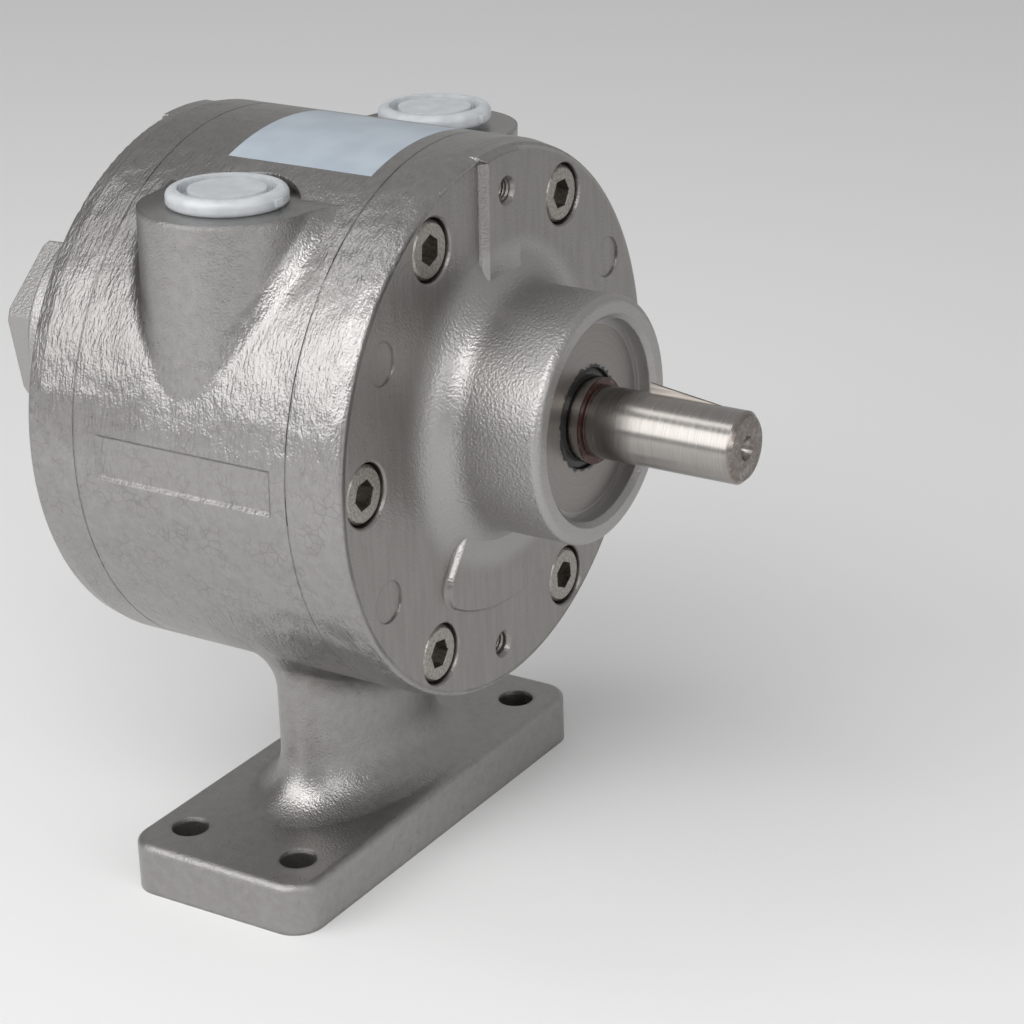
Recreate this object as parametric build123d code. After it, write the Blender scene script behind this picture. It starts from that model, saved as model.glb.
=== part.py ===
from build123d import *
import os
from math import cos, radians, sin, sqrt, tan

# A foot-mounted air vane motor, in millimetres.
# The origin is the middle of the four foot holes, on the underside of the foot.
# +X runs along the output shaft to its free end, +Y across the foot, and +Z up.
# The rotor and shaft sit above the middle of the bore, so that the rotor nearly
# touches the top of the bore, between the two ports.
# Angles about the barrel are in degrees from the top towards +Y.

# How far a cut runs on past the surface that it leaves
past = 1.0

# Barrel, bore and the two end plates
body_len = 56.2
body_mid_x = 2.4
bore_r = 44.45
barrel_wall = 18.15
eccentric = 4.8
gasket_t = 0.25
gasket_inset = 0.4
plate_t = 13.55
rim_bevel_len = 4.5
rim_bevel_drop = 0.9
rim_round = 1.2
plate_turn = 1.8

# Hubs, in front and behind
hub_r = 27.5
hub_blend = 8.0
hub_edge_round = 1.6
drive_hub_len = 25.8
dead_hub_len = 26.2
recess_step = 1.76
recess_depth = 4.0
recess_chamfer = 1.2

# Raised pads on the plates' faces
pad_draft = 25.0
pad_edge_round = 0.5
pad_flare = 0.35
pad_flare_draft = 60.0
upper_pad_height = 1.9
upper_pad_w = 15.2
upper_pad_y = -0.8
upper_pad_rim_gap = 0.4
upper_pad_root = 3.0
lower_pad_height = 1.5
lower_pad_bolt_gap = 5.3
lower_pad_half_angle = 37.5
lower_pad_corner_r = 6.5
lower_pad_root = 0.5

# Cap screws, dowels, jack holes and the ejector marks between the screws
screw_count = 6
screw_edge = 9.7
screw_d = 8.0
screw_head_d = 13.0
screw_head_h = 8.0
screw_head_chamfer = 0.7
screw_tip_chamfer = 0.8
screw_flats = 6.0
screw_socket_depth = 4.2
screw_spin = 17.0
screw_grip = 16.0
head_sunk = 0.5
counterbore_d = 14.0
counterbore_chamfer = 0.4
clearance_d = 8.8
tap_run_out = 2.0
dowel_d = 5.0
dowel_len = 16.0
dowel_turns = (60.0 + plate_turn, 240.0 + plate_turn)
jack_d = 5.0
jack_chamfer = 0.8
jack_turns = (plate_turn, 183.1)
ejector_r = 4.7
ejector_depth = 0.4
ejector_turns = tuple(n + plate_turn for n in (60.0, 120.0, 240.0, 300.0))

# Shaft, rotor and vanes
shaft_d = 15.875
journal_r = 9.525
core_r = 11.0
shaft_end_x = 105.0
shaft_step_x = 69.4
shaft_tail = 0.5
end_chamfer = 1.0
centre_hole_r = 2.7
centre_hole_depth = 6.0
tip_gap = 0.05
end_gap = 0.05
vane_count = 4
vane_t = 4.0
vane_side_gap = 0.03
vane_core_gap = 4.15
vane_sunk = 0.15
vane_root_gap = 0.1
vane_end_gap = 0.1

# Half-round key, tipped a little in its seat
key_w = 4.76
key_r = 9.525
key_h = 6.6
key_proud = 0.9
key_x = 89.5
key_turn = 30.0
key_tilt = 7.2
key_chamfer = 0.3

# Ball bearings and shaft seal
bearing_r = 20.6375
bearing_w = 11.11
ball_r = 3.175
groove_depth = 1.02
ball_count = 9
groove_gap = 0.06
pocket_gap = 0.12
cage_t = 2.6
cage_w = 8.6
web_gap = 0.25
seal_w = 6.6
seal_back_gap = 0.4
seal_mouth_step = 1.7
seal_wall = 1.2
seal_anchor_t = 1.0
seal_anchor_h = 1.6
lip_gap = 0.05
lip_w = 4.3
lip_heel = 0.7
lip_t = 0.7
lip_relief = 0.8
dust_lip_w = 0.9
dust_lip_t = 0.3

# End cap, its sealing cord and the preload washer behind the rear bearing
cap_thread_step = 1.36
cap_spigot_len = 6.4
cap_flange_r = 24.4
cap_flange_t = 6.0
cap_hex_r = 21.2
cap_hex_h = 9.2
cap_hex_turn = -19.9
cap_wall = 6.0
cap_hollow_extra = 2.0
cap_flange_round = 1.0
cap_crown = 0.9
cap_crown_cut = 0.8
cord_r = 0.75
cord_inset = 0.1
washer_t = 0.8
washer_rise = 2.1
washer_gap = 0.44
washer_inner_gap = 0.5

# Foot and pedestal
foot_setback = 6.2
foot_y = 117.3
foot_t = 12.4
foot_corner_r = 7.0
foot_edge_round = 1.5
foot_hole_d = 8.66
foot_hole_inset_x = 9.65
foot_hole_inset_y = 12.15
pier_rise = 32.3
pier_x = 0.5
pier_half_x = 13.0
pier_half_y = 26.0
pier_flare_x = 9.5
pier_flare_y = 13.0
pier_flare_h = 13.0
pier_root = 0.3
pier_steps = 6
pier_blend = 11.0

# Ports on top, their caps and the panel on the barrel's side
port_shift = 0.4
port_inset = 23.1
port_boss_r = 19.2
port_drop = 8.4
port_blend = 5.5
port_tap_r = 6.4
port_tap_len = 15.0
port_drill_r = 5.2
port_drill_rise = 20.7
spot_r = 15.5
cap_plug_gap = 0.05
port_cap_r = 13.1
port_cap_t = 3.6
port_cap_top_round = 1.6
port_cap_low_round = 1.0
port_cap_groove_r = 10.5
port_cap_middle_r = 8.4
port_cap_middle_drop = 0.3
port_cap_web = 1.2
port_cap_window_w = 5.0
port_cap_window_turns = (50.0, 213.0)
port_cap_plug_len = 11.0
port_cap_wall = 1.1
port_cap_gate_w = 2.4
port_cap_gate_t = 1.6
port_cap_gate_out = 0.7
right_cap_proud = 1.4
panel_len = 46.8
panel_h = 10.7
panel_x = 3.3
panel_turn = 271.8
panel_depth = 0.9
panel_draft = 45.0

# Values worked out from those above
body_r = bore_r + barrel_wall
body_z = foot_t + pier_rise + body_r
shaft_z = body_z + eccentric
rotor_r = bore_r - eccentric - tip_gap
body_front_x = body_mid_x + body_len / 2
body_rear_x = body_mid_x - body_len / 2
drive_joint_x = body_front_x + gasket_t
dead_joint_x = body_rear_x - gasket_t
drive_hub_x = drive_joint_x + plate_t + drive_hub_len
dead_hub_x = dead_joint_x - plate_t - dead_hub_len
bolt_circle_r = body_r - screw_edge
lower_pad_reach = bolt_circle_r - lower_pad_bolt_gap
foot_x = body_len - foot_setback
port_x = body_mid_x + port_shift
port_y = body_r - port_inset
port_top_z = body_z + body_r - port_drop
recess_r = bearing_r + recess_step
cap_thread_r = bearing_r + cap_thread_step
cap_hollow_r = cap_thread_r - cap_wall
bearing_mid_r = (journal_r + bearing_r) / 2
race_t = (bearing_r - journal_r) / 2 - ball_r + groove_depth
drive_bearing_out = drive_hub_len + plate_t - recess_depth - seal_w - seal_back_gap
dead_bearing_out = dead_hub_len + plate_t - cap_spigot_len - washer_rise
screw_turns = [plate_turn + 360 / screw_count * (n + 0.5) for n in range(screw_count)]
screw_seat = plate_t - head_sunk - screw_head_h
vane_turns = [360 / vane_count * (n + 0.5) for n in range(vane_count)]


def turned(corners, axis_z=0.0):
    """A solid turned about the shaft's direction, from its (x, radius) corners."""
    outline = make_face(Polyline(*corners, close=True))
    return Pos(0, 0, axis_z) * revolve(outline, Axis.X)


def rod(radius, x_from, x_to, y=0.0, z=0.0):
    """A round bar along X between two stations."""
    length = abs(x_to - x_from)
    middle = (x_from + x_to) / 2
    return Pos(middle, y, z) * Rot(0, 90, 0) * Cylinder(radius, length)


def ring(outer, inner, x_from, x_to, z=0.0):
    """A plain ring about the X direction."""
    return rod(outer, x_from, x_to, 0, z) - rod(inner, x_from, x_to, 0, z)


def hexagon(corner_r, x_from, x_to, turn=0.0):
    """A hexagonal bar along X, with a flat facing -Y before it is turned."""
    length = abs(x_to - x_from)
    flat_side = RegularPolygon(corner_r, 6, rotation=30)
    bar = extrude(flat_side, length / 2, both=True)
    return Pos((x_from + x_to) / 2, 0, 0) * Rot(turn, 0, 0) * Rot(0, 90, 0) * bar


def place(turn, radius):
    """The location at a radius about the barrel's axis, at a turn from the top towards +Y."""
    return Pos(0, radius * sin(radians(turn)), body_z + radius * cos(radians(turn)))


def facing_x(x):
    """The sketch plane across the barrel's axis, with its own x along +Y and its own y up."""
    return Plane(origin=(x, 0, body_z), x_dir=(0, 1, 0), z_dir=(1, 0, 0))


def circles_at(part, x, radius):
    """The part's circular edges of one radius in the plane at x."""
    circles = part.edges().filter_by(GeomType.CIRCLE)
    return [e for e in circles if abs(e.center().X - x) < 0.01 and abs(e.radius - radius) < 0.01]


# Castings


def end_plate(hub_len, hub_bore):
    """An end plate with its joint face at x = 0 and its hub towards +X."""
    hub_x = plate_t + hub_len
    face_r = body_r - rim_bevel_drop
    bevel_x = plate_t - rim_bevel_len
    plate = turned([(0, 0), (0, body_r), (bevel_x, body_r), (plate_t, face_r), (plate_t, 0)], body_z)
    plate = fillet(circles_at(plate, plate_t, face_r), rim_round)
    plate += rod(hub_r, plate_t / 2, hub_x, 0, shaft_z)
    plate = fillet(circles_at(plate, plate_t, hub_r), hub_blend)
    plate = fillet(circles_at(plate, hub_x, hub_r), hub_edge_round)
    plate += upper_pad()
    plate += lower_pad()
    plate -= Pos(0, 0, shaft_z) * hub_bore
    plate -= [place(turn, bolt_circle_r) * screw_hole() for turn in screw_turns]
    jack_faces = (plate_t + upper_pad_height, plate_t)
    plate -= [place(turn, bolt_circle_r) * jack_hole(x) for turn, x in zip(jack_turns, jack_faces)]
    mark = rod(ejector_r, plate_t - ejector_depth, plate_t + past)
    plate -= [place(turn, bolt_circle_r) * mark for turn in ejector_turns]
    dowel_hole = rod(dowel_d / 2, 0, dowel_len / 2)
    plate -= [place(turn, bolt_circle_r) * dowel_hole for turn in dowel_turns]
    return plate


def raised(outline, root, height):
    """A low pad on a plate's face: flared where it meets the face, drafted, with its top edge rounded."""
    base = extrude(facing_x(plate_t - root) * outline, root)
    flare = extrude(base.faces().sort_by(Axis.X)[-1], pad_flare, taper=pad_flare_draft)
    top = extrude(flare.faces().sort_by(Axis.X)[-1], height - pad_flare, taper=pad_draft)
    top = fillet(top.faces().sort_by(Axis.X)[-1].edges(), pad_edge_round)
    return base + flare + top


def upper_pad():
    """The low raised strip from the hub up to the rim, which the upper jack hole goes through."""
    strip = Rot(0, 0, -plate_turn) * Pos(upper_pad_y, body_r / 2) * Rectangle(upper_pad_w, body_r)
    return raised(strip & Circle(body_r - upper_pad_rim_gap), upper_pad_root, upper_pad_height)


def lower_pad():
    """The low raised sector below the hub, inside the bolt circle."""
    low = -2 * lower_pad_reach
    spread = low * tan(radians(lower_pad_half_angle))
    sector = make_face(Polyline((0, 0), (spread, low), (-spread, low), close=True)) & Circle(lower_pad_reach)
    sector = fillet(sector.vertices().sort_by(Axis.Y)[:2], lower_pad_corner_r)
    return raised(Pos(0, eccentric) * sector, lower_pad_root, lower_pad_height)


def screw_hole():
    """A clearance hole and counterbore about X, with a small chamfer at the plate's face."""
    lip = counterbore_d / 2 + counterbore_chamfer
    out = plate_t + upper_pad_height + past
    return turned(
        [
            (-past, 0),
            (-past, clearance_d / 2),
            (screw_seat, clearance_d / 2),
            (screw_seat, counterbore_d / 2),
            (plate_t - counterbore_chamfer, counterbore_d / 2),
            (plate_t, lip),
            (out, lip),
            (out, 0),
        ]
    )


def jack_hole(face_x):
    """A tapped hole through the plate about X, up to a face at a station, for pressing it off its dowels."""
    bore = jack_d / 2
    lip = bore + jack_chamfer
    return turned([(-past, 0), (-past, bore), (face_x - jack_chamfer, bore), (face_x, lip), (face_x, 0)])


def drive_end_plate():
    """The end plate at the output end, bored for its bearing and seal, with a recess round the seal."""
    hub_x = plate_t + drive_hub_len
    floor = hub_x - recess_depth
    shoulder = drive_bearing_out - bearing_w
    mouth_r = recess_r + recess_chamfer
    bore = turned(
        [
            (-past, 0),
            (-past, core_r + web_gap),
            (shoulder, core_r + web_gap),
            (shoulder, bearing_r),
            (floor, bearing_r),
            (floor, recess_r),
            (hub_x - recess_chamfer, recess_r),
            (hub_x, mouth_r),
            (hub_x + past, mouth_r),
            (hub_x + past, 0),
        ]
    )
    return Pos(drive_joint_x, 0, 0) * end_plate(drive_hub_len, bore)


def dead_end_plate():
    """The end plate at the back, bored for its bearing and threaded for the end cap."""
    hub_x = plate_t + dead_hub_len
    shoulder = dead_bearing_out - bearing_w
    thread_x = hub_x - cap_spigot_len
    bore = turned(
        [
            (-past, 0),
            (-past, core_r + web_gap),
            (shoulder, core_r + web_gap),
            (shoulder, bearing_r),
            (thread_x, bearing_r),
            (thread_x, cap_thread_r),
            (hub_x + past, cap_thread_r),
            (hub_x + past, 0),
        ]
    )
    return Pos(dead_joint_x, 0, 0) * mirror(end_plate(dead_hub_len, bore), about=Plane.YZ)


def foot():
    """The flat foot with its four holes."""
    plate = Pos(0, 0, foot_t / 2) * Box(foot_x, foot_y, foot_t)
    plate = fillet(plate.edges().filter_by(Axis.Z), foot_corner_r)
    plate = fillet(plate.faces().sort_by(Axis.Z)[-1].edges(), foot_edge_round)
    holes = GridLocations(foot_x - 2 * foot_hole_inset_x, foot_y - 2 * foot_hole_inset_y, 2, 2)
    return plate - holes * Cylinder(foot_hole_d / 2, 3 * foot_t)


def pier_flare():
    """The lower end of the pedestal, a concave skirt that sweeps out onto the foot."""
    sections = []
    for step in range(pier_steps + 1):
        sweep = radians(90 * step / pier_steps)
        spread = 1 - sin(sweep)
        rise = (pier_flare_h + pier_root) * (1 - cos(sweep)) - pier_root
        outline = Ellipse(pier_half_x + pier_flare_x * spread, pier_half_y + pier_flare_y * spread)
        sections.append(Pos(pier_x, 0, foot_t + rise) * outline)
    return loft(sections)


def port_seat(side):
    """The location of a port's flat face, at the side -1 or 1, tipped as far as the end plates are turned."""
    return Pos(port_x, 0, port_top_z) * Rot(-plate_turn, 0, 0) * Pos(0, side * port_y, 0)


def port_boss(side):
    """One port boss, blended into the barrel and cut off flat at the top."""
    barrel = rod(body_r, body_rear_x, body_front_x, 0, body_z)
    depth = port_top_z - body_z
    boss = port_seat(side) * Pos(0, 0, -depth) * extrude(Circle(port_boss_r), depth + port_drop + 2 * port_blend)
    joined = fillet(seams(barrel + boss), port_blend)
    spare = port_seat(side) * extrude(Circle(2 * port_boss_r), body_r)
    return joined - (spare - barrel)


def port_cut(side):
    """The spot face, tapping and drilling of one port."""
    seat = port_seat(side)
    drill_len = port_top_z - body_z - port_drill_rise
    spot = seat * extrude(Circle(spot_r), body_r)
    tapping = seat * Pos(0, 0, -port_tap_len) * extrude(Circle(port_tap_r), body_r)
    drilling = seat * Pos(0, 0, -drill_len) * extrude(Circle(port_drill_r), body_r)
    return [spot, tapping, drilling]


def seams(shape):
    """The free-form edges, where one turned surface runs into another."""
    return [e for e in shape.edges() if e.geom_type in (GeomType.BSPLINE, GeomType.OTHER)]


def end_drillings():
    """The tapped and dowel holes in the body's two end faces."""
    cuts = []
    for face_x, way in ((body_front_x, -1), (body_rear_x, 1)):
        tapping = rod(screw_d / 2, face_x, face_x + way * (screw_grip + tap_run_out))
        dowel_hole = rod(dowel_d / 2, face_x, face_x + way * dowel_len / 2)
        cuts += [place(turn, bolt_circle_r) * tapping for turn in screw_turns]
        cuts += [place(turn, bolt_circle_r) * dowel_hole for turn in dowel_turns]
    return cuts


def panel_recess():
    """The shallow flat recess in the side of the barrel, with drafted walls."""
    inset = 2 * panel_depth * tan(radians(panel_draft))
    flat = Rectangle(panel_len - inset, panel_h - inset)
    block = extrude(flat, 2 * panel_depth, taper=-panel_draft)
    return Pos(panel_x, 0, body_z) * Rot(-panel_turn, 0, 0) * Pos(0, 0, body_r - panel_depth) * block


def body_casting():
    """The barrel with its pedestal, foot and two port bosses, cast in one piece, bored and tapped."""
    barrel = rod(body_r, body_rear_x, body_front_x, 0, body_z)
    pier_low = foot_t + pier_flare_h
    column = extrude(Pos(pier_x, 0, pier_low) * Ellipse(pier_half_x, pier_half_y), body_z - pier_low)
    cast = fillet(seams(barrel + column), pier_blend)
    cast += port_boss(1)
    cast += port_boss(-1)
    cast += pier_flare()
    cast += foot()
    cast -= rod(bore_r, body_rear_x - past, body_front_x + past, 0, body_z)
    cast -= port_cut(1) + port_cut(-1)
    cast -= end_drillings()
    return cast - panel_recess()


# Pieces that hold the castings together


def gasket(x_from, x_to):
    """A gasket ring with the screws' and dowels' holes."""
    sheet = rod(body_r - gasket_inset, x_from, x_to, 0, body_z)
    sheet -= rod(bore_r, x_from - past, x_to + past, 0, body_z)
    screw_gap = rod(clearance_d / 2, x_from - past, x_to + past)
    dowel_gap = rod(dowel_d / 2, x_from - past, x_to + past)
    sheet -= [place(turn, bolt_circle_r) * screw_gap for turn in screw_turns]
    sheet -= [place(turn, bolt_circle_r) * dowel_gap for turn in dowel_turns]
    return sheet


def cap_screw(spin):
    """One socket cap screw about X, seated in a plate whose joint face is at x = 0."""
    head_x = screw_seat + screw_head_h
    tip = -gasket_t - screw_grip
    top_r = screw_head_d / 2 - screw_head_chamfer
    screw = turned(
        [
            (tip, 0),
            (tip, screw_d / 2 - screw_tip_chamfer),
            (tip + screw_tip_chamfer, screw_d / 2),
            (screw_seat, screw_d / 2),
            (screw_seat, screw_head_d / 2),
            (head_x - screw_head_chamfer, screw_head_d / 2),
            (head_x, top_r),
            (head_x, 0),
        ]
    )
    return screw - hexagon(screw_flats / sqrt(3), head_x - screw_socket_depth, head_x + past, spin)


def cap_screws(joint_x, facing):
    """The six cap screws of the plate at one joint, each turned to its own angle."""
    screws = []
    for number, turn in enumerate(screw_turns):
        seat = Pos(joint_x, 0, 0) * place(turn, bolt_circle_r) * Rot(0, 0, facing)
        screws.append(seat * cap_screw(screw_spin * number))
    return Compound(screws)


def dowel_pins():
    """Two dowel pins at each joint."""
    reach = dowel_len / 2
    pins = []
    for turn in dowel_turns:
        pins.append(place(turn, bolt_circle_r) * rod(dowel_d / 2, body_front_x - reach, drive_joint_x + reach))
        pins.append(place(turn, bolt_circle_r) * rod(dowel_d / 2, body_rear_x + reach, dead_joint_x - reach))
    return Compound(pins)


# End cap, with its sealing cord and the washer that it presses on


def cord_mid_r():
    """The mean radius of the end cap's sealing cord."""
    return cap_thread_r + cord_inset + cord_r


def end_cap():
    """The screwed end cap: threaded spigot, round flange and hexagon."""
    flange_x = dead_hub_x - cap_flange_t
    hex_x = flange_x - cap_hex_h
    spigot_x = dead_hub_x + cap_spigot_len
    core = rod(cap_flange_r, flange_x, dead_hub_x)
    core = fillet(circles_at(core, flange_x, cap_flange_r), cap_flange_round)
    core += rod(cap_thread_r, flange_x, spigot_x)
    grip = hexagon(cap_hex_r, hex_x, flange_x + past, cap_hex_turn)
    crown = turned(
        [
            (flange_x + past, 0),
            (flange_x + past, cap_hex_r),
            (hex_x + cap_crown, cap_hex_r),
            (hex_x, cap_hex_r - cap_crown_cut),
            (hex_x, 0),
        ]
    )
    cap = core + (grip & crown)
    cap -= rod(cap_hollow_r, dead_hub_x - cap_hollow_extra, spigot_x + past)
    cap -= ring(cord_mid_r() + cord_r, cap_thread_r, dead_hub_x - 2 * cord_r, dead_hub_x)
    return Pos(0, 0, shaft_z) * cap


def end_cap_cord():
    """The sealing cord under the end cap's flange."""
    return Pos(dead_hub_x - cord_r, 0, shaft_z) * Rot(0, 90, 0) * Torus(cord_mid_r(), cord_r)


def preload_washer():
    """The dished washer between the end cap and the rear bearing."""
    race_x = dead_joint_x - dead_bearing_out
    cap_x = race_x - washer_rise
    outer = bearing_r - washer_gap
    inner = cap_hollow_r + washer_inner_gap
    corners = [(race_x, outer), (race_x - washer_t, outer), (cap_x, inner), (cap_x + washer_t, inner)]
    return turned(corners, shaft_z)


# Bearings and seal


def groove(x):
    """The ball track of a bearing whose middle is at x."""
    return Pos(x, 0, 0) * Rot(0, 90, 0) * Torus(bearing_mid_r, ball_r + groove_gap)


def outer_race(x):
    """The outer race of a bearing whose middle is at x."""
    race = ring(bearing_r, bearing_r - race_t, x - bearing_w / 2, x + bearing_w / 2)
    return Pos(0, 0, shaft_z) * (race - groove(x))


def inner_race(x):
    """The inner race of a bearing whose middle is at x."""
    race = ring(journal_r + race_t, journal_r, x - bearing_w / 2, x + bearing_w / 2)
    return Pos(0, 0, shaft_z) * (race - groove(x))


def ball_turns():
    """The balls' angles about the shaft."""
    return [360 / ball_count * n for n in range(ball_count)]


def balls(x):
    """The balls of a bearing whose middle is at x."""
    ball = Pos(x, 0, bearing_mid_r) * Sphere(ball_r)
    return Compound([Pos(0, 0, shaft_z) * Rot(turn, 0, 0) * ball for turn in ball_turns()])


def cage(x):
    """The cage of a bearing whose middle is at x, a ring with a round pocket for each ball."""
    band = ring(bearing_mid_r + cage_t / 2, bearing_mid_r - cage_t / 2, x - cage_w / 2, x + cage_w / 2)
    pocket = Pos(x, 0, bearing_mid_r) * Cylinder(ball_r + pocket_gap, 3 * cage_t)
    band -= [Rot(turn, 0, 0) * pocket for turn in ball_turns()]
    return Pos(0, 0, shaft_z) * band


def seal_face_x():
    """The station of the shaft seal's outer face, level with the floor of the hub's recess."""
    return drive_hub_x - recess_depth


def seal_case():
    """The steel case of the shaft seal, a cup with a round mouth."""
    front = seal_face_x()
    case = ring(bearing_r, bearing_r - seal_wall, front - seal_w, front, shaft_z)
    return case + ring(bearing_r, journal_r + seal_mouth_step, front - seal_wall, front, shaft_z)


def seal_lip():
    """The rubber of the shaft seal: a pressure lip inwards and a dust lip outwards."""
    wall_x = seal_face_x() - seal_wall
    mouth = journal_r + seal_mouth_step
    touch = journal_r + lip_gap
    neck = touch + lip_relief
    return turned(
        [
            (wall_x, mouth + seal_anchor_h),
            (wall_x - seal_anchor_t, mouth + seal_anchor_h),
            (wall_x - lip_w, touch + 2 * lip_t),
            (wall_x - lip_w, touch + lip_t),
            (wall_x - lip_w + lip_heel, touch),
            (wall_x - lip_w / 3, neck),
            (wall_x - dust_lip_t, neck),
            (wall_x + dust_lip_w, touch),
            (wall_x + dust_lip_w, touch + lip_t),
            (wall_x + dust_lip_w - dust_lip_t, mouth),
            (wall_x, mouth),
        ],
        shaft_z,
    )


# Rotor, vanes, shaft and key


def key_disc():
    """The whole disc that the half-round key is cut from, and that its seat is cut with."""
    centre_r = shaft_d / 2 + key_proud - key_h + key_r
    disc = Rot(0, key_tilt, 0) * Rot(90, 0, 0) * Cylinder(key_r, key_w)
    return Pos(key_x, 0, shaft_z) * Rot(-key_turn, 0, 0) * Pos(0, 0, centre_r) * disc


def output_key():
    """The half-round key on the output shaft."""
    centre_r = shaft_d / 2 + key_proud - key_h + key_r
    keep = Pos(0, 0, key_h - key_r - key_r) * Box(3 * key_r, 2 * key_w, 2 * key_r)
    half = Rot(90, 0, 0) * Cylinder(key_r, key_w) & keep
    half = chamfer(half.faces().sort_by(Axis.Z)[-1].edges(), key_chamfer)
    return Pos(key_x, 0, shaft_z) * Rot(-key_turn, 0, 0) * Pos(0, 0, centre_r) * Rot(0, key_tilt, 0) * half


def shaft():
    """The shaft: rear journal, core that carries the rotor, front journal and output end."""
    drive_shoulder = drive_joint_x + drive_bearing_out - bearing_w
    dead_shoulder = dead_joint_x - dead_bearing_out + bearing_w
    tail_x = dead_shoulder - bearing_w - shaft_tail
    end_r = shaft_d / 2
    bar = turned(
        [
            (tail_x, 0),
            (tail_x, journal_r),
            (dead_shoulder, journal_r),
            (dead_shoulder, core_r),
            (drive_shoulder, core_r),
            (drive_shoulder, journal_r),
            (shaft_step_x, journal_r),
            (shaft_step_x, end_r),
            (shaft_end_x - end_chamfer, end_r),
            (shaft_end_x, end_r - end_chamfer),
            (shaft_end_x, centre_hole_r),
            (shaft_end_x - centre_hole_r, centre_hole_r / 2),
            (shaft_end_x - centre_hole_depth, centre_hole_r / 2),
            (shaft_end_x - centre_hole_depth - centre_hole_r / 2, 0),
        ],
        shaft_z,
    )
    return bar - key_disc()


def vane_low_r():
    """The radius of the vanes' inner edges with the vanes pushed in."""
    return core_r + vane_core_gap


def rotor():
    """The rotor, with a slot for each vane."""
    slot_low = vane_low_r() - vane_root_gap
    slot_w = vane_t + 2 * vane_side_gap
    x_low = dead_joint_x + end_gap
    x_high = drive_joint_x - end_gap
    drum = ring(rotor_r, core_r, x_low, x_high)
    slot = Pos((x_low + x_high) / 2, 0, slot_low + rotor_r / 2) * Box(2 * body_len, slot_w, rotor_r)
    drum -= [Rot(-turn, 0, 0) * slot for turn in vane_turns]
    return Pos(0, 0, shaft_z) * drum


def vane(turn):
    """One vane, pushed in, with its outer edge rounded."""
    x_low = dead_joint_x + vane_end_gap
    x_high = drive_joint_x - vane_end_gap
    length = x_high - x_low
    tip = rotor_r - vane_sunk
    low = vane_low_r()
    straight = tip - vane_t / 2 - low
    blade = Pos((x_low + x_high) / 2, 0, low + straight / 2) * Box(length, vane_t, straight)
    edge = Pos(0, 0, tip - vane_t / 2) * rod(vane_t / 2, x_low, x_high)
    return Pos(0, 0, shaft_z) * Rot(-turn, 0, 0) * (blade + edge)


# Port caps


def port_cap(side, proud):
    """A push-in plastic cap: a rounded rim, a grooved top with two windows, a gate mark and a hollow plug.

    It stands proud of its boss by the distance given.
    """
    plug_r = port_tap_r - cap_plug_gap
    cap = extrude(Circle(port_cap_r), port_cap_t)
    cap = fillet(cap.faces().sort_by(Axis.Z)[-1].edges(), port_cap_top_round)
    cap = fillet(cap.faces().sort_by(Axis.Z)[0].edges(), port_cap_low_round)
    cap -= Pos(0, 0, port_cap_web) * extrude(Circle(port_cap_groove_r), port_cap_t)
    cap += extrude(Circle(port_cap_middle_r), port_cap_t - port_cap_middle_drop)
    groove_w = port_cap_groove_r - port_cap_middle_r
    window = Pos(port_cap_middle_r + groove_w / 2, 0) * Box(groove_w, port_cap_window_w, 3 * port_cap_t)
    cap -= [Rot(0, 0, turn) * window for turn in port_cap_window_turns]
    gate_len = port_cap_low_round + port_cap_gate_out
    gate_x = port_cap_r - port_cap_low_round + gate_len / 2
    gate = Box(gate_len, port_cap_gate_w, port_cap_gate_t)
    cap += Pos(gate_x, 0, port_cap_t / 2) * gate
    plug = extrude(Circle(plug_r) - Circle(plug_r - port_cap_wall), port_cap_plug_len)
    cap += Pos(0, 0, -port_cap_plug_len) * plug
    return port_seat(side) * Pos(0, 0, proud) * cap


drive_bearing_x = drive_joint_x + drive_bearing_out - bearing_w / 2
dead_bearing_x = dead_joint_x - dead_bearing_out + bearing_w / 2

parts = {
    "body_casting": body_casting(),
    "drive_end_plate": drive_end_plate(),
    "dead_end_plate": dead_end_plate(),
    "drive_end_gasket": gasket(body_front_x, drive_joint_x),
    "dead_end_gasket": gasket(dead_joint_x, body_rear_x),
    "drive_end_screws": cap_screws(drive_joint_x, 0),
    "dead_end_screws": cap_screws(dead_joint_x, 180),
    "dowel_pins": dowel_pins(),
    "end_cap": end_cap(),
    "end_cap_cord": end_cap_cord(),
    "preload_washer": preload_washer(),
    "shaft_seal_case": seal_case(),
    "shaft_seal_lip": seal_lip(),
    "drive_bearing_outer_race": outer_race(drive_bearing_x),
    "drive_bearing_inner_race": inner_race(drive_bearing_x),
    "drive_bearing_balls": balls(drive_bearing_x),
    "drive_bearing_cage": cage(drive_bearing_x),
    "dead_bearing_outer_race": outer_race(dead_bearing_x),
    "dead_bearing_inner_race": inner_race(dead_bearing_x),
    "dead_bearing_balls": balls(dead_bearing_x),
    "dead_bearing_cage": cage(dead_bearing_x),
    "rotor": rotor(),
    "shaft": shaft(),
    "output_key": output_key(),
    "left_port_cap": port_cap(-1, 0),
    "right_port_cap": port_cap(1, right_cap_proud),
}
for number, turn in enumerate(vane_turns, 1):
    parts[f"vane_{number}"] = vane(turn)

os.makedirs("parts", exist_ok=True)
for name, shape in parts.items():
    export_step(shape, f"parts/{name}.step")
    print(name, shape.is_valid, len(shape.solids()), round(shape.volume))
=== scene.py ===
"""A foot-mounted air vane motor on a pale floor: painted castings, turned steel shaft, plastic port caps."""

import math

import bmesh
import bpy
from mathutils import Matrix, Vector


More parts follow.
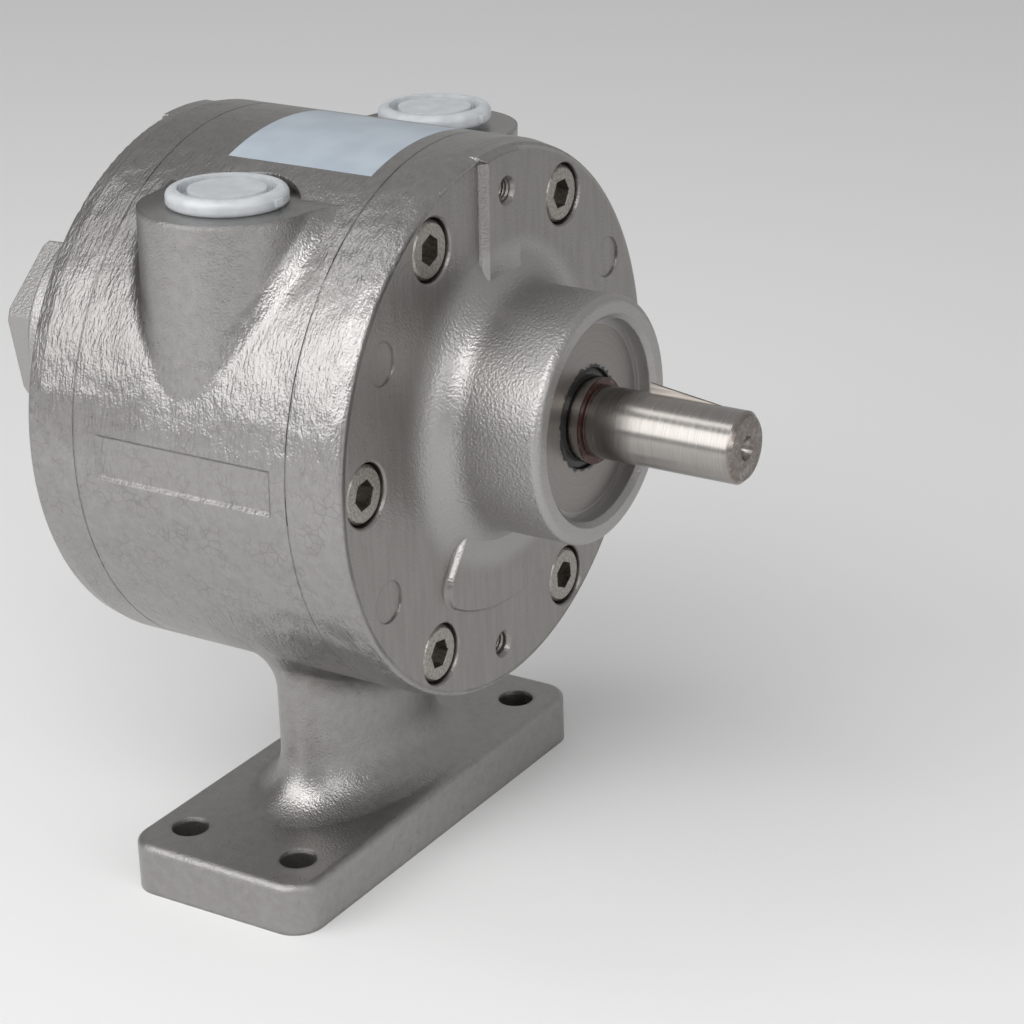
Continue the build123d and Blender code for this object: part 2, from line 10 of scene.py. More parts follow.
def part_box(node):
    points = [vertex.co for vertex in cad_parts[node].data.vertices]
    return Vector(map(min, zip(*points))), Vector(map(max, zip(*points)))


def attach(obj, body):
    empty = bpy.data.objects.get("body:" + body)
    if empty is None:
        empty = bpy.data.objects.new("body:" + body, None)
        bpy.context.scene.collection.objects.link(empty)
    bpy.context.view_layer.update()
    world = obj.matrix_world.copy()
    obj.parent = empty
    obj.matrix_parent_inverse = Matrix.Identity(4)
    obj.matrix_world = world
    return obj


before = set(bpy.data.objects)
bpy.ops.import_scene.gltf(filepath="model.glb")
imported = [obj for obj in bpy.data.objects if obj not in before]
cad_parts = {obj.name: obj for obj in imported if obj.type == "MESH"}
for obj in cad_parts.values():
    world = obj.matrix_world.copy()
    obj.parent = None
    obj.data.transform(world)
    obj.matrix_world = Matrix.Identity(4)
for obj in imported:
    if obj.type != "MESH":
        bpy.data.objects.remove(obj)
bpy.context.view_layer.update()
MM = 0.001

# The camera, at the photograph's viewing angle: metres for its place, degrees, and millimetres for its lens
CAMERA_PLACE = (0.36821, -0.50215, 0.33412)
CAMERA_AZIMUTH = 32.693
CAMERA_ELEVATION = 22.565
CAMERA_ROLL = -1.859
CAMERA_LENS = 101.67
CAMERA_SENSOR = 36.0

# The soft boxes: azimuth and elevation in degrees, distance, width and height in metres, and brightness
SOFT_BOXES = {
    "key_soft_box": (-116, 29, 1.1, 1.05, 0.8, 2.3),
    "front_soft_box": (-68, 46, 1.2, 0.75, 0.6, 3.6),
    "strip_soft_box": (-155, 60, 1.1, 0.24, 0.5, 2.3),
    "right_soft_box": (-18, 20, 1.2, 0.45, 0.6, 2.2),
}
SOFT_BOX_AIM = (0, 0, 0.1)

# The room's light, and the side of the room where it falls off
ROOM_LIGHT = 0.43
ROOM_DIM = 0.22
ROOM_DIM_WAY = (-0.98, 0.15, 0.1)
ROOM_DIM_FROM = 0.72
ROOM_DIM_TO = 0.95

# The floor: half its width in metres, and its colour
FLOOR_HALF = 4.0
FLOOR_COLOUR = "#F0F0F0"

# Stations of the motor: the axes of barrel and shaft, the back of the port bosses, the shaft's step and end
BARREL_Z = 107.3 * MM
BARREL_R = 62.6 * MM
SHAFT_Z = 112.1 * MM
BOSS_REAR_X = -16.4 * MM
SHAFT_STEP_X = 69.4 * MM
SHAFT_END_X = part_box("shaft")[1][0]

# The label, round the top of the barrel: its span along X, and its turn in degrees from the top
LABEL_X = (-11.1 * MM, 26.5 * MM)
LABEL_TURN = (-19.0, 13.0)
LABEL_STEPS = 24
LABEL_T = 0.12 * MM
LABEL_LIFT = 0.03 * MM

# The jack holes: turn in degrees from the top towards +Y, and where the thread starts and ends along X
UPPER_JACK_HOLE = (1.8, 34.5 * MM, 44.6 * MM)
LOWER_JACK_HOLE = (183.1, 33.7 * MM, 42.7 * MM)
JACK_CIRCLE_R = 52.9 * MM
JACK_HOLE_R = 2.5 * MM
THREAD_PITCH = 0.8 * MM
THREAD_DEPTH = 0.42 * MM
THREAD_HALF_WIDTH = 0.336 * MM
THREAD_STEPS = 28

# Paint in the joints of the barrel, by spans of turn in degrees from the top towards +Y
DRIVE_JOINT_SPANS = [(-270, -94), (-88, -80), (-52, -45), (-36, -22), (-14, 20), (26, 84)]
DEAD_JOINT_SPANS = [(-250, -30), (-24, 100)]
PAINT_FILL_DROP = 0.06 * MM
PAINT_FILL_T = 0.2 * MM
PAINT_FILL_STEP = 3.0

# Settings that many nodes share
SMOOTH = {"interpolation_type": "SMOOTHSTEP"}
COLOUR = {"data_type": "RGBA"}
SUBTRACT = {"operation": "SUBTRACT"}
MULTIPLY = {"operation": "MULTIPLY"}
MULTIPLY_ADD = {"operation": "MULTIPLY_ADD"}
MAXIMUM = {"operation": "MAXIMUM"}
ARCTAN2 = {"operation": "ARCTAN2"}
LENGTH = {"operation": "LENGTH"}
DOT_PRODUCT = {"operation": "DOT_PRODUCT"}
SCALE = {"operation": "SCALE"}
ADD = {"operation": "ADD"}


def linear(hex_colour):
    """An sRGB hex colour as linear RGBA."""
    digits = hex_colour.lstrip("#")
    channels = [int(digits[i : i + 2], 16) / 255 for i in (0, 2, 4)]
    return tuple(c / 12.92 if c <= 0.04045 else ((c + 0.055) / 1.055) ** 2.4 for c in channels) + (1.0,)


def per_metre(*sizes_mm):
    """The texture scale for a feature of this size in millimetres, or one scale for each size given."""
    scales = tuple(1.0 / (size * MM) for size in sizes_mm)
    return scales if len(scales) > 1 else scales[0]


def add_node(tree, kind, settings=None, **inputs):
    """Adds one node to a tree, with its settings and with a value or a link for each named input.

    An input is named as in the editor with _ for a space, or by number as in0 and in1. A node that is given
    as the value stands for the first of its outputs that is in use.
    """
    made = tree.nodes.new(kind)
    for name, value in (settings or {}).items():
        setattr(made, name, value)
    for name, value in inputs.items():
        numbered = name.startswith("in") and name[2:].isdigit()
        socket = made.inputs[int(name[2:]) if numbered else name.replace("_", " ")]
        if isinstance(value, bpy.types.Node):
            value = next(output for output in value.outputs if output.enabled)
        if isinstance(value, bpy.types.NodeSocket):
            tree.links.new(value, socket)
        else:
            socket.default_value = value
    return made


class Finish:
    """A material that is built up node by node, with the piece's own coordinates at hand."""

    def __init__(self, name):
        self.material = bpy.data.materials.new(name)
        self.material.use_nodes = True
        self.material.node_tree.nodes.clear()
        self.place = self.add("ShaderNodeTexCoord").outputs["Object"]

    def add(self, kind, settings=None, **inputs):
        """Adds one node to the material."""
        return add_node(self.material.node_tree, kind, settings, **inputs)

    def done(self, surface):
        """Ends the material with this shader node, and gives the material."""
        self.add("ShaderNodeOutputMaterial", Surface=surface)
        return self.material


def round_axis(f, height, radius):
    """The place along X, round an axis at this height and out from it, and the distance out by itself."""
    apart = f.add("ShaderNodeSeparateXYZ", Vector=f.place).outputs
    up = f.add("ShaderNodeMath", SUBTRACT, in0=apart["Z"], in1=height)
    turn = f.add("ShaderNodeMath", ARCTAN2, in0=apart["Y"], in1=up)
    arc = f.add("ShaderNodeMath", MULTIPLY, in0=turn, in1=radius)
    across = f.add("ShaderNodeCombineXYZ", X=apart["Y"], Y=up)
    out = f.add("ShaderNodeVectorMath", LENGTH, in0=across)
    return f.add("ShaderNodeCombineXYZ", X=apart["X"], Y=arc, Z=out), out


def casting_zones(f, out):
    """Masks for the parts of the castings, some by the distance out from the barrel's axis."""
    apart = f.add("ShaderNodeSeparateXYZ", Vector=f.place).outputs
    _, hub_out = round_axis(f, SHAFT_Z, BARREL_R)
    skin = f.add("ShaderNodeMapRange", SMOOTH, Value=out, From_Min=60.4 * MM, From_Max=61.6 * MM)
    beyond = f.add("ShaderNodeMapRange", SMOOTH, Value=out, From_Min=63.2 * MM, From_Max=66.0 * MM)
    within = f.add("ShaderNodeMath", SUBTRACT, in0=1.0, in1=beyond)
    barrel = f.add("ShaderNodeMath", MULTIPLY, in0=skin, in1=within)
    hub = f.add("ShaderNodeMapRange", SMOOTH, Value=hub_out, From_Min=39.0 * MM, From_Max=34.0 * MM)
    low = f.add("ShaderNodeMapRange", SMOOTH, Value=apart["Z"], From_Min=138.0 * MM, From_Max=112.0 * MM)
    # A painted shade: the rear side of the port bosses, above the barrel's axis, is darkened
    rear_from = BOSS_REAR_X + 13.0 * MM
    rear_to = BOSS_REAR_X + 4.0 * MM
    rear = f.add("ShaderNodeMapRange", SMOOTH, Value=apart["X"], From_Min=rear_from, From_Max=rear_to)
    upper_to = BARREL_Z + 8.0 * MM
    upper = f.add("ShaderNodeMapRange", SMOOTH, Value=apart["Z"], From_Min=BARREL_Z, From_Max=upper_to)
    rear_upper = f.add("ShaderNodeMath", MULTIPLY, in0=rear, in1=upper)
    proud = f.add("ShaderNodeMapRange", SMOOTH, Value=out, From_Min=62.3 * MM, From_Max=63.2 * MM)
    boss_rear = f.add("ShaderNodeMath", MULTIPLY, in0=rear_upper, in1=proud)
    return {"skin": skin, "barrel": barrel, "beyond": beyond, "hub": hub, "low": low, "boss_rear": boss_rear}


def casting_relief(f, wrap, zones):
    """The relief of the castings: lumps and swells on the barrel, orange peel on the hub, a grain all over.

    The heights are in millimetres. The edges are eased, those of the port bosses the most.
    """
    lump_place = f.add("ShaderNodeMapping", Vector=wrap, Scale=per_metre(0.8, 2.6, 1.6))
    lumps = f.add("ShaderNodeTexNoise", Vector=lump_place, Scale=1.0, Detail=2.0, Roughness=0.6)
    swell = f.add("ShaderNodeTexNoise", Vector=f.place, Scale=per_metre(9.0), Detail=1.0)
    peel = f.add("ShaderNodeTexNoise", Vector=f.place, Scale=per_metre(0.7), Detail=1.0, Roughness=0.4)
    grain = f.add("ShaderNodeTexNoise", Vector=f.place, Scale=per_metre(0.5), Detail=1.0)
    lump_height = f.add("ShaderNodeMath", MULTIPLY, in0=zones["barrel"], in1=0.26)
    peel_height = f.add("ShaderNodeMath", MULTIPLY, in0=zones["hub"], in1=0.12)
    swell_height = f.add("ShaderNodeMath", MULTIPLY, in0=zones["barrel"], in1=0.9)
    grain_height = f.add("ShaderNodeMapRange", Value=zones["beyond"], To_Min=0.1, To_Max=0.13)
    relief = f.add("ShaderNodeMath", MULTIPLY, in0=lumps, in1=lump_height)
    relief = f.add("ShaderNodeMath", MULTIPLY_ADD, in0=peel, in1=peel_height, in2=relief)
    relief = f.add("ShaderNodeMath", MULTIPLY_ADD, in0=swell, in1=swell_height, in2=relief)
    relief = f.add("ShaderNodeMath", MULTIPLY_ADD, in0=grain, in1=grain_height, in2=relief)
    edge_r = f.add("ShaderNodeMapRange", Value=zones["beyond"], To_Min=0.5 * MM, To_Max=1.6 * MM)
    eased = f.add("ShaderNodeBevel", {"samples": 3}, Radius=edge_r)
    return f.add("ShaderNodeBump", Height=relief, Strength=1.0, Distance=1.0 * MM, Normal=eased)


def paint_creases(f, zones):
    """A mask of the fine creases in the paint, low on the barrel."""
    warp = f.add("ShaderNodeTexNoise", Vector=f.place, Scale=per_metre(3.0), Detail=2.0)
    warp_reach = f.add("ShaderNodeVectorMath", SCALE, Vector=warp.outputs["Color"], Scale=1.6 * MM)
    bent = f.add("ShaderNodeVectorMath", ADD, in0=f.place, in1=warp_reach)
    cells = f.add("ShaderNodeTexVoronoi", {"feature": "DISTANCE_TO_EDGE"}, Vector=bent, Scale=per_metre(2.4))
    cracks = f.add("ShaderNodeMapRange", SMOOTH, Value=cells, From_Min=0.10, From_Max=0.0)
    clouds = f.add("ShaderNodeTexNoise", Vector=f.place, Scale=per_metre(7.0))
    patchy = f.add("ShaderNodeMapRange", SMOOTH, Value=clouds, From_Min=0.42, From_Max=0.62)
    creases = f.add("ShaderNodeMath", MULTIPLY, in0=cracks, in1=patchy)
    creases = f.add("ShaderNodeMath", MULTIPLY, in0=creases, in1=zones["barrel"])
    return f.add("ShaderNodeMath", MULTIPLY, in0=creases, in1=zones["low"])


def painted_iron():
    """Aluminium paint, sprayed on sand-cast iron.

    The flake gives a soft metallic sheen, which the lumps of the barrel and the orange peel of the hub
    break up. The flat faces show faint runs. The hub is painted a little lighter, a painted highlight, and
    the rear side of the port bosses is painted darker, a painted shade.
    """
    f = Finish("aluminium_paint_on_sand_cast_iron")
    wrap, out = round_axis(f, BARREL_Z, BARREL_R)
    zones = casting_zones(f, out)

    runs_place = f.add("ShaderNodeMapping", Vector=f.place, Scale=per_metre(3.0, 1.6, 14.0))
    runs = f.add("ShaderNodeTexNoise", Vector=runs_place, Scale=1.0, Detail=2.0)
    run_share = f.add("ShaderNodeMapRange", SMOOTH, Value=runs, From_Min=0.3, From_Max=0.7)
    flat = f.add("ShaderNodeMix", COLOUR, in0=run_share, in6=linear("#918E8B"), in7=linear("#989592"))
    mottle = f.add("ShaderNodeTexNoise", Vector=f.place, Scale=per_metre(2.2), Detail=4.0, Roughness=0.65)
    mottle_share = f.add("ShaderNodeMapRange", SMOOTH, Value=mottle, From_Min=0.3, From_Max=0.7)
    skin = f.add("ShaderNodeMix", COLOUR, in0=mottle_share, in6=linear("#9A9896"), in7=linear("#A3A19F"))
    tone = f.add("ShaderNodeMix", COLOUR, in0=zones["skin"], in6=flat, in7=skin)
    # Painted highlight: the hub is painted lighter than the rest of the castings
    tone = f.add("ShaderNodeMix", COLOUR, in0=zones["hub"], in6=tone, in7=linear("#ABA9A7"))
    crease_share = f.add("ShaderNodeMath", MULTIPLY, in0=paint_creases(f, zones), in1=0.3)
    tone = f.add("ShaderNodeMix", COLOUR, in0=crease_share, in6=tone, in7=linear("#6E6A66"))
    # Painted shade: the rear side of the port bosses is painted darker
    painted_shade_share = f.add("ShaderNodeMath", MULTIPLY, in0=zones["boss_rear"], in1=0.7)
    tone = f.add("ShaderNodeMix", COLOUR, in0=painted_shade_share, in6=tone, in7=linear("#55514D"))

    dull = f.add("ShaderNodeMapRange", Value=mottle, From_Min=0.3, From_Max=0.7, To_Min=0.27, To_Max=0.34)
    dull = f.add("ShaderNodeMath", MULTIPLY_ADD, in0=zones["hub"], in1=0.09, in2=dull)
    relief = casting_relief(f, wrap, zones)
    surface = f.add("ShaderNodeBsdfPrincipled", Base_Color=tone, Metallic=0.92, Roughness=dull, Normal=relief)
    return f.done(surface)


def seal_paint():
    """Aluminium paint on the seal's pressed steel case.

    It shows faint rings and black grease round its mouth, and it is black low in its corner.
    """
    f = Finish("aluminium_paint_on_pressed_steel")
    _, out = round_axis(f, SHAFT_Z, BARREL_R)
    apart = f.add("ShaderNodeSeparateXYZ", Vector=f.place).outputs
    ring_place = f.add("ShaderNodeCombineXYZ", X=out)
    rings = f.add("ShaderNodeTexNoise", Vector=ring_place, Scale=per_metre(0.5), Detail=2.0)
    ragged = f.add("ShaderNodeTexNoise", Vector=f.place, Scale=per_metre(1.6), Detail=4.0, Roughness=0.7)
    mouth = f.add("ShaderNodeMath", MULTIPLY_ADD, in0=ragged, in1=-3.2 * MM, in2=out)
    greasy = f.add("ShaderNodeMapRange", SMOOTH, Value=mouth, From_Min=10.4 * MM, From_Max=10.0 * MM)
    # Black low in the corner of the recess, below the shaft
    low_from = SHAFT_Z - 9 * MM
    low_to = SHAFT_Z - 15 * MM
    low = f.add("ShaderNodeMapRange", SMOOTH, Value=apart["Z"], From_Min=low_from, From_Max=low_to)
    corner = f.add("ShaderNodeMath", MULTIPLY_ADD, in0=ragged, in1=5.0 * MM, in2=out)
    corner = f.add("ShaderNodeMapRange", SMOOTH, Value=corner, From_Min=24.2 * MM, From_Max=24.6 * MM)
    dark_low_corner = f.add("ShaderNodeMath", MULTIPLY, in0=corner, in1=low)
    grease_and_dark_corner = f.add("ShaderNodeMath", MAXIMUM, in0=greasy, in1=dark_low_corner)
    ring_share = f.add("ShaderNodeMapRange", SMOOTH, Value=rings, From_Min=0.35, From_Max=0.65)
    tone = f.add("ShaderNodeMix", COLOUR, in0=ring_share, in6=linear("#8F8B87"), in7=linear("#96928E"))
    tone = f.add("ShaderNodeMix", COLOUR, in0=grease_and_dark_corner, in6=tone, in7=linear("#0E0D0C"))
    shine = f.add("ShaderNodeMath", SUBTRACT, in0=0.92, in1=grease_and_dark_corner)
    bump = f.add("ShaderNodeBump", Height=rings, Strength=0.4, Distance=0.015 * MM)
    surface = f.add("ShaderNodeBsdfPrincipled", Base_Color=tone, Metallic=shine, Roughness=0.36, Normal=bump)
    return f.done(surface)


def ground_steel():
    """Ground shaft steel: fine lines round the shaft, brownish bands, a rusty step and a browned end.

    The real lines are a few hundredths of a millimetre apart. They are drawn coarser, so that they show.
    """
    f = Finish("ground_shaft_steel")
    wrap, _ = round_axis(f, SHAFT_Z, 8 * MM)
    x = f.add("ShaderNodeSeparateXYZ", Vector=f.place).outputs["X"]
    line_place = f.add("ShaderNodeMapping", Vector=wrap, Scale=per_metre(0.22, 9.0, 9.0))
    lines = f.add("ShaderNodeTexNoise", Vector=line_place, Scale=1.0, Detail=3.0, Roughness=0.7)
    band_place = f.add("ShaderNodeCombineXYZ", X=x)
    bands = f.add("ShaderNodeTexNoise", Vector=band_place, Scale=per_metre(3.0), Detail=2.0)
    ragged = f.add("ShaderNodeTexNoise", Vector=f.place, Scale=per_metre(1.2), Detail=4.0, Roughness=0.7)

    step = SHAFT_STEP_X
    before = f.add("ShaderNodeMapRange", SMOOTH, Value=x, From_Min=step - 0.5 * MM, From_Max=step - 0.15 * MM)
    after = f.add("ShaderNodeMapRange", SMOOTH, Value=x, From_Min=step + 0.5 * MM, From_Max=step + 0.1 * MM)
    at_step = f.add("ShaderNodeMath", MULTIPLY, in0=before, in1=after)
    rust_share = f.add("ShaderNodeMapRange", SMOOTH, Value=ragged, From_Min=0.2, From_Max=0.45)
    rusty = f.add("ShaderNodeMath", MULTIPLY, in0=at_step, in1=rust_share)
    end = SHAFT_END_X
    at_end = f.add("ShaderNodeMapRange", SMOOTH, Value=x, From_Min=end - 1.1 * MM, From_Max=end - 0.2 * MM)
    brown_share = f.add("ShaderNodeMapRange", SMOOTH, Value=ragged, From_Min=0.2, From_Max=0.6)
    browned = f.add("ShaderNodeMath", MULTIPLY, in0=at_end, in1=brown_share)

    line_share = f.add("ShaderNodeMapRange", SMOOTH, Value=lines, From_Min=0.3, From_Max=0.7)
    tone = f.add("ShaderNodeMix", COLOUR, in0=line_share, in6=linear("#9C9894"), in7=linear("#ABA7A3"))
    banded = f.add("ShaderNodeMapRange", SMOOTH, Value=bands, From_Min=0.55, From_Max=0.75)
    banded = f.add("ShaderNodeMath", MULTIPLY, in0=banded, in1=0.5)
    tone = f.add("ShaderNodeMix", COLOUR, in0=banded, in6=tone, in7=linear("#8B8177"))
    tone = f.add("ShaderNodeMix", COLOUR, in0=rusty, in6=tone, in7=linear("#43251F"))
    end_share = f.add("ShaderNodeMath", MULTIPLY, in0=browned, in1=0.75)
    tone = f.add("ShaderNodeMix", COLOUR, in0=end_share, in6=tone, in7=linear("#56463C"))
    marks = f.add("ShaderNodeMath", MAXIMUM, in0=rusty, in1=browned)
    shine = f.add("ShaderNodeMapRange", Value=marks, To_Min=1.0, To_Max=0.55)
    dull = f.add("ShaderNodeMapRange", Value=lines, From_Min=0.3, From_Max=0.7, To_Min=0.2, To_Max=0.28)
    bump = f.add("ShaderNodeBump", Height=lines, Strength=0.5, Distance=0.02 * MM)
    surface = f.add("ShaderNodeBsdfPrincipled", Base_Color=tone, Metallic=shine, Roughness=dull, Normal=bump)
    return f.done(surface)


def key_steel():
    """Cold-drawn key steel: dull grey, with lines along the key.

    They are drawn coarser than the real ones, so that they show.
    """
    f = Finish("drawn_key_steel")
    line_place = f.add("ShaderNodeMapping", Vector=f.place, Scale=per_metre(12.0, 0.3, 0.3))
    lines = f.add("ShaderNodeTexNoise", Vector=line_place, Scale=1.0, Detail=2.0)
    share = f.add("ShaderNodeMapRange", SMOOTH, Value=lines, From_Min=0.3, From_Max=0.7)
    tone = f.add("ShaderNodeMix", COLOUR, in0=share, in6=linear("#827C76"), in7=linear("#A19B94"))
    bump = f.add("ShaderNodeBump", Height=lines, Strength=0.4, Distance=0.05 * MM)
    surface = f.add("ShaderNodeBsdfPrincipled", Base_Color=tone, Metallic=1.0, Roughness=0.38, Normal=bump)
    return f.done(surface)


def screw_steel():
    """Zinc plating on forged socket screws: mottled grey heads with rolled edges."""
    f = Finish("zinc_plated_screw_steel")
    grain = f.add("ShaderNodeTexNoise", Vector=f.place, Scale=per_metre(0.6), Detail=3.0)
    share = f.add("ShaderNodeMapRange", SMOOTH, Value=grain, From_Min=0.3, From_Max=0.7)
    tone = f.add("ShaderNodeMix", COLOUR, in0=share, in6=linear("#8A8680"), in7=linear("#B3AFA8"))
    eased = f.add("ShaderNodeBevel", {"samples": 3}, Radius=0.3 * MM)
    bump = f.add("ShaderNodeBump", Height=grain, Strength=0.5, Distance=0.06 * MM, Normal=eased)
    surface = f.add("ShaderNodeBsdfPrincipled", Base_Color=tone, Metallic=1.0, Roughness=0.34, Normal=bump)
    return f.done(surface)


def machined_metal(name, dark, light, roughness):
    """Machined steel or iron, with a fine grain that is drawn coarser than the real one so that it shows."""
    f = Finish(name)
    grain = f.add("ShaderNodeTexNoise", Vector=f.place, Scale=per_metre(0.5), Detail=3.0)
    share = f.add("ShaderNodeMapRange", SMOOTH, Value=grain, From_Min=0.3, From_Max=0.7)
    tone = f.add("ShaderNodeMix", COLOUR, in0=share, in6=linear(dark), in7=linear(light))
    bump = f.add("ShaderNodeBump", Height=grain, Strength=0.3, Distance=0.05 * MM)
    surface = f.add(
        "ShaderNodeBsdfPrincipled",
        Base_Color=tone,
        Metallic=1.0,
        Roughness=roughness,
        Normal=bump,
    )
    return f.done(surface)


def nitrile_rubber():
    """Moulded nitrile rubber of the seal and the sealing cord: black, glossy with grease."""
    f = Finish("greased_nitrile_rubber")
    grain = f.add("ShaderNodeTexNoise", Vector=f.place, Scale=per_metre(0.8), Detail=3.0)
    share = f.add("ShaderNodeMapRange", SMOOTH, Value=grain, From_Min=0.3, From_Max=0.7)
    tone = f.add("ShaderNodeMix", COLOUR, in0=share, in6=linear("#0B0A0A"), in7=linear("#1C1A18"))
    bump = f.add("ShaderNodeBump", Height=grain, Strength=0.6, Distance=0.1 * MM)
    surface = f.add("ShaderNodeBsdfPrincipled", Base_Color=tone, Roughness=0.28, Normal=bump)
    return f.done(surface)


def polythene():
    """Natural low-density polythene, injection moulded: milky, lets light through, with a waxy gloss."""
    f = Finish("natural_polythene")
    cloud = f.add("ShaderNodeTexNoise", Vector=f.place, Scale=per_metre(4.0), Detail=2.0)
    share = f.add("ShaderNodeMapRange", SMOOTH, Value=cloud, From_Min=0.3, From_Max=0.7)
    tone = f.add("ShaderNodeMix", COLOUR, in0=share, in6=linear("#D6DBE0"), in7=linear("#E6EAED"))
    ripple = f.add("ShaderNodeTexNoise", Vector=f.place, Scale=per_metre(1.5), Detail=1.0)
    bump = f.add("ShaderNodeBump", Height=ripple, Strength=0.3, Distance=0.08 * MM)
    surface = f.add(
        "ShaderNodeBsdfPrincipled",
        Base_Color=tone,
        Roughness=0.32,
        IOR=1.51,
        Transmission_Weight=0.3,
        Subsurface_Weight=0.6,
        Subsurface_Radius=(3.0, 3.0, 3.0),
        Subsurface_Scale=1.0 * MM,
        Normal=bump,
    )
    return f.done(surface)


def moulded_plastic(name, dark, light, grain_mm, roughness):
    """A moulded or pressed plastic, dull and mottled at its own grain size."""
    f = Finish(name)
    grain = f.add("ShaderNodeTexNoise", Vector=f.place, Scale=per_metre(grain_mm), Detail=4.0)
    share = f.add("ShaderNodeMapRange", SMOOTH, Value=grain, From_Min=0.3, From_Max=0.7)
    tone = f.add("ShaderNodeMix", COLOUR, in0=share, in6=linear(dark), in7=linear(light))
    bump = f.add("ShaderNodeBump", Height=grain, Strength=0.4, Distance=0.05 * MM)
    surface = f.add("ShaderNodeBsdfPrincipled", Base_Color=tone, Roughness=roughness, Normal=bump)
    return f.done(surface)


def label_film():
    """Pale blue-grey polyester label film: smooth with a soft gloss, slightly uneven on the cast lumps."""
    f = Finish("polyester_label_film")
    cloud = f.add("ShaderNodeTexNoise", Vector=f.place, Scale=per_metre(12.0), Detail=2.0)
    share = f.add("ShaderNodeMapRange", SMOOTH, Value=cloud, From_Min=0.35, From_Max=0.65)
    tone = f.add("ShaderNodeMix", COLOUR, in0=share, in6=linear("#A5AFB9"), in7=linear("#AEB8C1"))
    lumps_below = f.add("ShaderNodeTexNoise", Vector=f.place, Scale=per_metre(2.0), Detail=2.0)
    bump = f.add("ShaderNodeBump", Height=lumps_below, Strength=0.5, Distance=0.05 * MM)
    surface = f.add("ShaderNodeBsdfPrincipled", Base_Color=tone, Roughness=0.4, Normal=bump)
    return f.done(surface)


def dress(material, *names):
    """Gives CAD nodes their material."""
    for name in names:
        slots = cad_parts[name].data.materials
        slots.clear()
        slots.append(material)


def dress_castings(paint):
    """The paint goes over the castings, the end cap and the edges of the gaskets."""
    dress(paint, "body_casting", "drive_end_plate", "dead_end_plate", "end_cap")
    dress(paint, "drive_end_gasket", "dead_end_gasket")
    dress(seal_paint(), "shaft_seal_case")


def dress_turned_parts():
    """The steel and iron parts, outside and inside.

    Ground steel is pale and bright, and the polished balls are nearly mirrors. The turned rotor is darker and
    duller, and the spring washer is blue-grey from its heat treatment.
    """
    dress(ground_steel(), "shaft")
    dress(key_steel(), "output_key")
    dress(screw_steel(), "drive_end_screws", "dead_end_screws")
    dress(machined_metal("ground_dowel_steel", "#A8A49E", "#C0BCB6", 0.25), "dowel_pins")
    dress(machined_metal("turned_rotor_iron", "#6E6B68", "#8A8784", 0.4), "rotor")
    dress(machined_metal("blued_spring_steel", "#4C4E54", "#66686E", 0.35), "preload_washer")
    races = [f"{end}_bearing_{part}" for end in ("drive", "dead") for part in ("outer_race", "inner_race")]
    dress(machined_metal("ground_bearing_steel", "#B0ADA8", "#C8C5C0", 0.2), *races)
    ball_steel = machined_metal("polished_ball_steel", "#BDBBB8", "#D2D0CC", 0.08)
    dress(ball_steel, "drive_bearing_balls", "dead_bearing_balls")


def dress_plastic_parts():
    """The cages, the vanes, the seals and the port caps.

    The moulded nylon is cream with a soft gloss, and the pressed laminate of the vanes is brown and matt.
    """
    cage_nylon = moulded_plastic("moulded_nylon", "#C9BFA4", "#DAD1B8", 1.5, 0.45)
    dress(cage_nylon, "drive_bearing_cage", "dead_bearing_cage")
    laminate = moulded_plastic("vane_laminate", "#4A3220", "#6B4A30", 0.6, 0.6)
    dress(laminate, "vane_1", "vane_2", "vane_3", "vane_4")
    dress(nitrile_rubber(), "shaft_seal_lip", "end_cap_cord")
    dress(polythene(), "left_port_cap", "right_port_cap")


def piece(name, made, material, body):
    """Turns a bmesh into a piece that rides on a body, with this material."""
    mesh = bpy.data.meshes.new(name)
    made.to_mesh(mesh)
    made.free()
    obj = bpy.data.objects.new(name, mesh)
    bpy.context.scene.collection.objects.link(obj)
    mesh.materials.append(material)
    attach(obj, body)
    return obj


def label():
    """The bare label film, bent over the top of the barrel."""
    made = bmesh.new()
    reach = BARREL_R + LABEL_LIFT
    start = math.radians(LABEL_TURN[0])
    place = (math.sin(start) * reach, BARREL_Z + math.cos(start) * reach)
    ends = [made.verts.new((x, *place)) for x in LABEL_X]
    edge = made.edges.new(ends)
    bmesh.ops.spin(
        made,
        geom=[*ends, edge],
        cent=(0, 0, BARREL_Z),
        axis=(1, 0, 0),
        angle=-math.radians(LABEL_TURN[1] - LABEL_TURN[0]),
        steps=LABEL_STEPS,
    )
    bmesh.ops.recalc_face_normals(made, faces=made.faces)
    bmesh.ops.solidify(made, geom=made.faces[:], thickness=LABEL_T)
    bmesh.ops.recalc_face_normals(made, faces=made.faces)
    return piece("blank_label", made, label_film(), "housing")


def jack_thread(name, hole, material):
    """The thread of a jack hole: a ridge that winds along the bore."""
    turn, x_start, x_end = hole
    y = JACK_CIRCLE_R * math.sin(math.radians(turn))
    z = BARREL_Z + JACK_CIRCLE_R * math.cos(math.radians(turn))
    made = bmesh.new()
    root = z + JACK_HOLE_R
    crest = root - THREAD_DEPTH
    back = x_start - THREAD_HALF_WIDTH
    front = x_start + THREAD_HALF_WIDTH
    corners = [(back, y, root), (x_start, y, crest), (front, y, root)]
    profile = made.faces.new([made.verts.new(corner) for corner in corners])
    turns = round((x_end - x_start) / THREAD_PITCH)
    bmesh.ops.spin(
        made,
        geom=[profile],
        cent=(x_start, y, z),
        axis=(1, 0, 0),
        dvec=(THREAD_PITCH / THREAD_STEPS, 0, 0),
        angle=2 * math.pi * turns,
        steps=THREAD_STEPS * turns,
    )
    bmesh.ops.recalc_face_normals(made, faces=made.faces)
    return piece(name, made, material, "housing")


